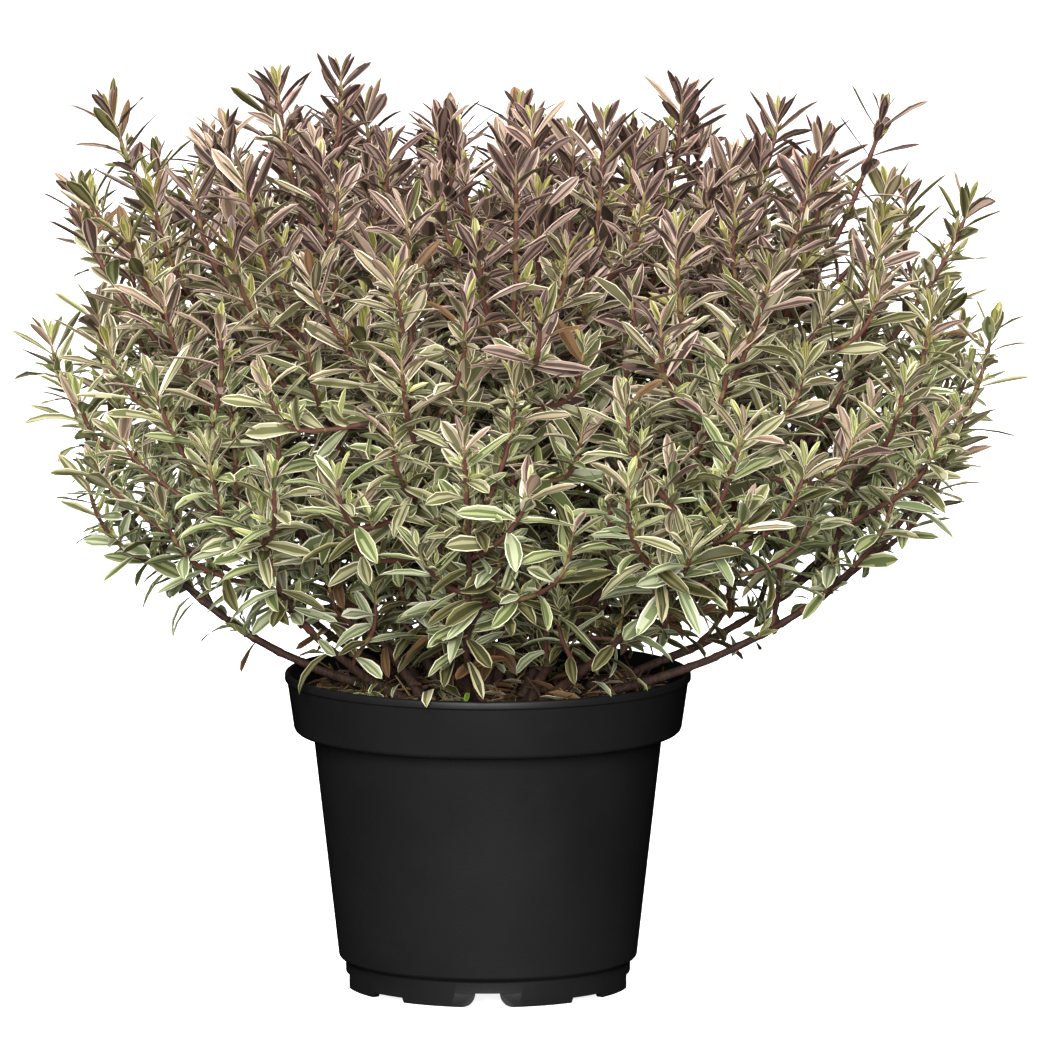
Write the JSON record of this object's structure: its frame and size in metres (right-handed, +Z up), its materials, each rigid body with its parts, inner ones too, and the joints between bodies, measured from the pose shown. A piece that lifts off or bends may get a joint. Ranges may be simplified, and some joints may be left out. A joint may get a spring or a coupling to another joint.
{
  "type": "potted hebe shrub",
  "caption": "Evergreen hebe shrub with narrow cream-edged leaves, flushed purple at the shoot tips, on arching stems in a round black nursery pot.",
  "frame": {"origin": "middle of the whole plant's box in plan, at the level of the pot's underside; the pot's own axis stands a little to its left, because the crown reaches further to the right", "axes": "+X to the right as the plant is pictured, along the crown's greatest width; +Y away from the viewer; +Z up the pot's axis"},
  "size_m": [0.491, 0.4572, 0.4497],
  "materials": {
    "leaves_low": "satin",
    "leaves_middle": "satin",
    "leaves_shoulder": "satin",
    "leaves_top": "satin",
    "black_plastic": "satin",
    "compost": "matte",
    "bark": "satin"
  },
  "bodies": {
    "root": {"foliage_low_1": "leaves_low", "foliage_low_2": "leaves_low", "foliage_low_3": "leaves_low", "foliage_low_4": "leaves_low", "foliage_low_5": "leaves_low", "foliage_low_6": "leaves_low", "foliage_low_7": "leaves_low", "foliage_low_8": "leaves_low", "foliage_low_9": "leaves_low", "foliage_middle_1": "leaves_middle", "foliage_middle_2": "leaves_middle", "foliage_middle_3": "leaves_middle", "foliage_middle_4": "leaves_middle", "foliage_middle_5": "leaves_middle", "foliage_middle_6": "leaves_middle", "foliage_middle_7": "leaves_middle", "foliage_shoulder_1": "leaves_shoulder", "foliage_shoulder_2": "leaves_shoulder", "foliage_shoulder_3": "leaves_shoulder", "foliage_shoulder_4": "leaves_shoulder", "foliage_shoulder_5": "leaves_shoulder", "foliage_shoulder_6": "leaves_shoulder", "foliage_shoulder_7": "leaves_shoulder", "foliage_shoulder_8": "leaves_shoulder", "foliage_top_1": "leaves_top", "foliage_top_2": "leaves_top", "foliage_top_3": "leaves_top", "foliage_top_4": "leaves_top", "pot": "black_plastic", "root_ball": "compost", "stem_low_1": "bark", "stem_low_2": "bark", "stem_low_3": "bark", "stem_low_4": "bark", "stem_low_5": "bark", "stem_low_6": "bark", "stem_low_7": "bark", "stem_low_8": "bark", "stem_low_9": "bark", "stem_middle_1": "bark", "stem_middle_2": "bark", "stem_middle_3": "bark", "stem_middle_4": "bark", "stem_middle_5": "bark", "stem_middle_6": "bark", "stem_middle_7": "bark", "stem_shoulder_1": "bark", "stem_shoulder_2": "bark", "stem_shoulder_3": "bark", "stem_shoulder_4": "bark", "stem_shoulder_5": "bark", "stem_shoulder_6": "bark", "stem_shoulder_7": "bark", "stem_shoulder_8": "bark", "stem_top_1": "bark", "stem_top_2": "bark", "stem_top_3": "bark", "stem_top_4": "bark"}
  },
  "joints": []
}
